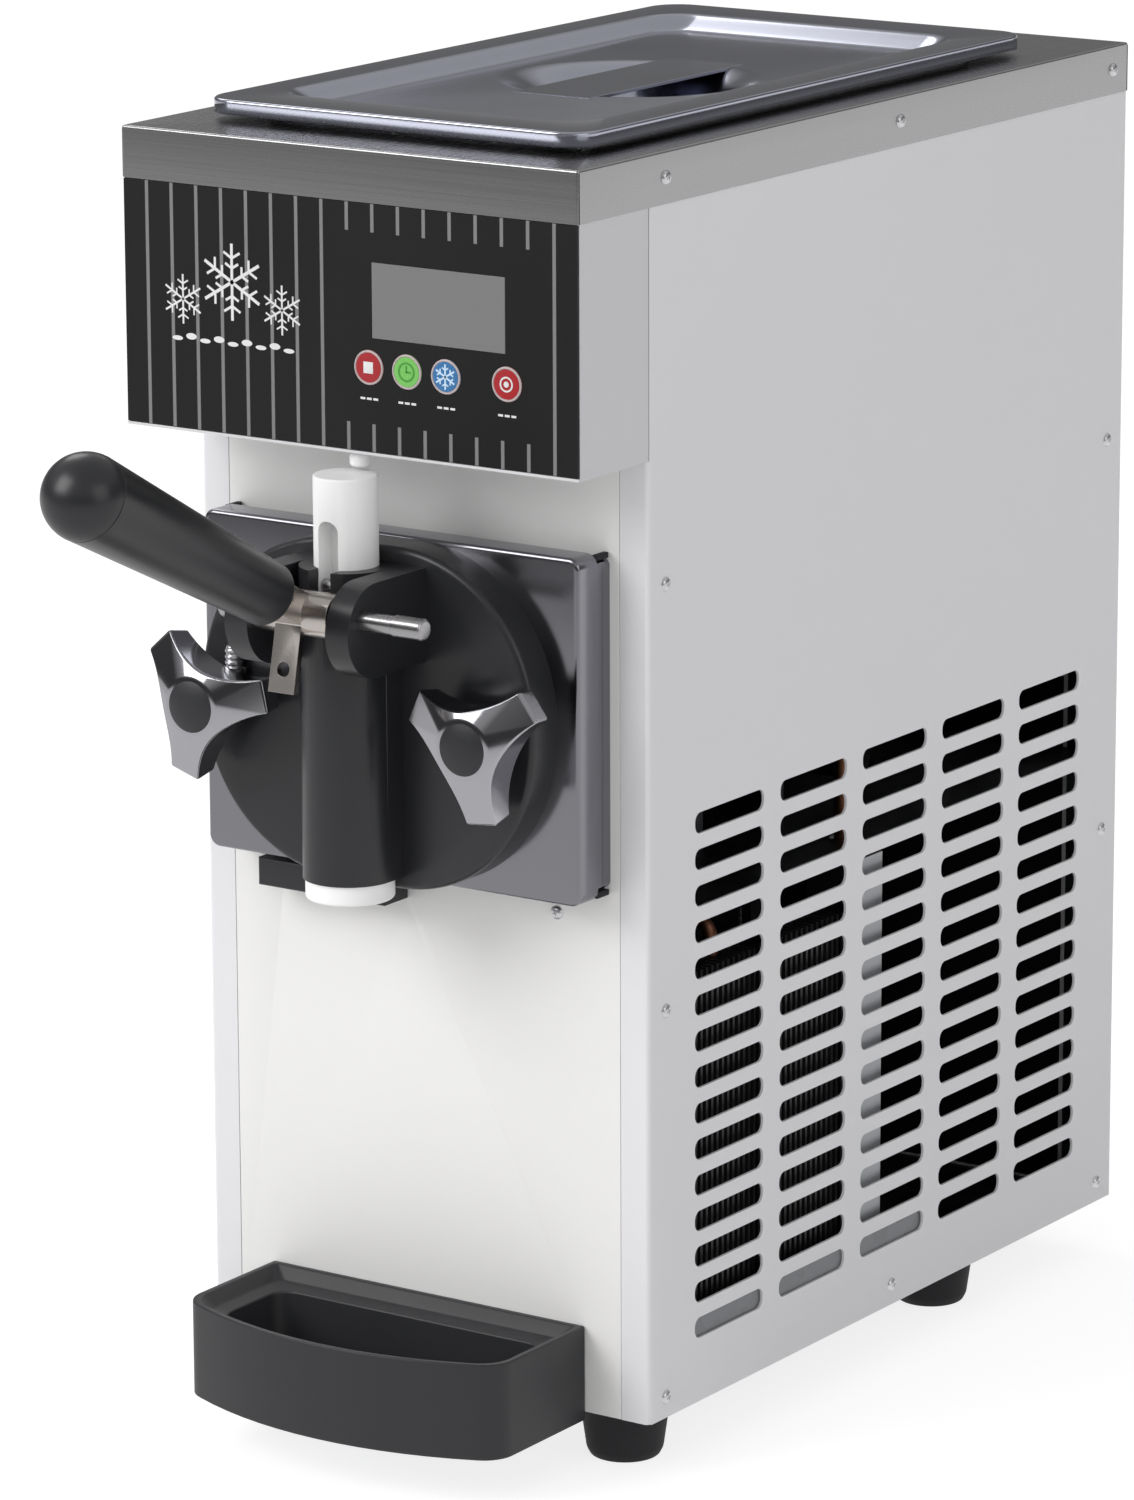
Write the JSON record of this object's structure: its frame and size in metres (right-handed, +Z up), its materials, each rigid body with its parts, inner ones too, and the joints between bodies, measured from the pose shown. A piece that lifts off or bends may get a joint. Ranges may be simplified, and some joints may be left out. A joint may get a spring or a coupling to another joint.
{
  "type": "soft-serve ice cream machine",
  "caption": "Counter-top soft-serve machine with a lidded hopper, slotted side panels, control head, pull-lever dispensing head with star knobs and a bowed drip tray.",
  "frame": {"origin": "under the middle of the whole machine, on the soles of its feet", "axes": "+Z up, front with the lever towards -Y, +X to the right as seen from the front"},
  "size_m": [0.2232, 0.6196, 0.5525],
  "materials": {
    "cap_steel": "satin brushed stainless",
    "panel_paint": "satin light grey powder coat",
    "front_paint": "satin off-white paint",
    "frame_zinc": "galvanised sheet",
    "food_steel": "polished stainless",
    "lever_steel": "cast stainless",
    "knob_chrome": "bright chrome",
    "screw_steel": "bright zinc",
    "black_plastic": "moulded satin black",
    "white_plastic": "turned white plastic",
    "overlay_black": "printed black film on sheet",
    "display_glass": "grey display window",
    "board_green": "circuit board",
    "button_red": "red cap",
    "button_green": "green cap",
    "button_blue": "blue cap",
    "black_rubber": "black rubber",
    "fin_aluminium": "mill finish",
    "foam_dark": "black elastomer foam",
    "machine_paint": "black machinery paint",
    "gear_grey": "cast housing",
    "pipe_copper": "copper pipe"
  },
  "bodies": {
    "machine": {"base_plate": "frame_zinc", "case_screws": "screw_steel", "compressor": "machine_paint", "condenser": "fin_aluminium", "control_board": "board_green", "control_box": "black_plastic", "control_panel": "overlay_black", "cord_gland": "black_plastic", "cylinder_plate": "food_steel", "cylinder_shelf": "frame_zinc", "dispense_door": "black_plastic", "display_window": "display_glass", "door_gasket": "black_rubber", "door_studs": "lever_steel", "drive_belt": "black_rubber", "evaporator_jacket": "food_steel", "fan_motor": "machine_paint", "fan_shroud": "frame_zinc", "feed_tube": "white_plastic", "feet": "black_rubber", "frame_posts": "frame_zinc", "freezing_cylinder": "food_steel", "front_panel": "front_paint", "gearbox": "gear_grey", "head_housing": "panel_paint", "hopper_gasket": "black_rubber", "hopper_pan": "food_steel", "insulation_jacket": "foam_dark", "left_side_panel": "panel_paint", "motor": "machine_paint", "outlet_nozzle": "white_plastic", "pivot_pin": "lever_steel", "rear_panel": "panel_paint", "rear_seal": "black_rubber", "refrigerant_pipes": "pipe_copper", "right_side_panel": "panel_paint", "top_cover": "cap_steel", "tray_bracket": "frame_zinc"},
    "lever": {"lever_arm": "lever_steel", "lever_grip": "black_plastic"},
    "piston": {"valve_piston": "white_plastic", "piston_pin": "lever_steel", "piston_seals": "black_rubber"},
    "plunger": {"start_plunger": "white_plastic"},
    "lid": {"hopper_lid": "food_steel"},
    "stop_key": {"stop_button": "button_red"},
    "clean_key": {"clean_button": "button_green"},
    "cool_key": {"cool_button": "button_blue"},
    "set_key": {"set_button": "button_red"},
    "left_star": {"left_knob": "knob_chrome", "left_knob_cap": "black_plastic"},
    "right_star": {"right_knob": "knob_chrome", "right_knob_cap": "black_plastic"},
    "agitator": {"beater": "food_steel", "scraper_blades": "white_plastic"},
    "upper_wheel": {"gearbox_pulley": "gear_grey"},
    "lower_wheel": {"motor_pulley": "gear_grey"},
    "fan": {"fan_blades": "black_plastic"},
    "tray": {"drip_tray": "black_plastic"},
    "drawer": {"leak_drawer": "black_plastic"}
  },
  "joints": [
    {"name": "lever_pull", "type": "hinge", "parent": "machine", "child": "lever", "pos_m": [0, -0.15823, 0.364], "axis": [1, 0, 0], "range_deg": [0, 20]},
    {"name": "piston_lift", "type": "slide", "parent": "machine", "child": "piston", "axis": [0, 0, 1], "range_m": [0, 0.0085]},
    {"name": "plunger_press", "type": "slide", "parent": "machine", "child": "plunger", "axis": [0, 0, 1], "range_m": [0, 0.007]},
    {"name": "lid_lift", "type": "slide", "parent": "machine", "child": "lid", "axis": [0, 0, 1], "range_m": [0, 0.06]},
    {"name": "stop_press", "type": "slide", "parent": "machine", "child": "stop_key", "axis": [0, 1, 0], "range_m": [0, 0.0008], "stiffness_N_per_m": 400},
    {"name": "clean_press", "type": "slide", "parent": "machine", "child": "clean_key", "axis": [0, 1, 0], "range_m": [0, 0.0008], "stiffness_N_per_m": 400},
    {"name": "cool_press", "type": "slide", "parent": "machine", "child": "cool_key", "axis": [0, 1, 0], "range_m": [0, 0.0008], "stiffness_N_per_m": 400},
    {"name": "set_press", "type": "slide", "parent": "machine", "child": "set_key", "axis": [0, 1, 0], "range_m": [0, 0.0008], "stiffness_N_per_m": 400},
    {"name": "left_knob_turn", "type": "hinge", "parent": "machine", "child": "left_star", "pos_m": [-0.0665, -0.12523, 0.314], "axis": [0, 1, 0], "continuous": true},
    {"name": "right_knob_turn", "type": "hinge", "parent": "machine", "child": "right_star", "pos_m": [0.0665, -0.12523, 0.314], "axis": [0, 1, 0], "continuous": true},
    {"name": "gearbox_pulley_spin", "type": "hinge", "parent": "machine", "child": "upper_wheel", "pos_m": [0, 0.20877, 0.314], "axis": [0, 1, 0], "continuous": true},
    {"name": "beater_spin", "type": "hinge", "parent": "machine", "child": "agitator", "pos_m": [0, -0.09523, 0.314], "axis": [0, 1, 0], "continuous": true},
    {"name": "motor_pulley_spin", "type": "hinge", "parent": "machine", "child": "lower_wheel", "pos_m": [0, 0.20877, 0.109], "axis": [0, 1, 0], "continuous": true},
    {"name": "fan_spin", "type": "hinge", "parent": "machine", "child": "fan", "pos_m": [0.0825, 0.02077, 0.118], "axis": [1, 0, 0], "continuous": true},
    {"name": "tray_slide", "type": "slide", "parent": "machine", "child": "tray", "axis": [0, -1, 0], "range_m": [0, 0.085]},
    {"name": "drawer_slide", "type": "slide", "parent": "machine", "child": "drawer", "axis": [0, -1, 0], "range_m": [0, 0.13]}
  ],
  "couplings": [
    {"joint": "piston_lift", "follows": "lever_pull", "m_per_rad": 0.0222},
    {"joint": "plunger_press", "follows": "lever_pull", "m_per_rad": 0.01891},
    {"joint": "beater_spin", "follows": "gearbox_pulley_spin", "ratio": 0.16667},
    {"joint": "motor_pulley_spin", "follows": "gearbox_pulley_spin", "ratio": 2.0363}
  ]
}
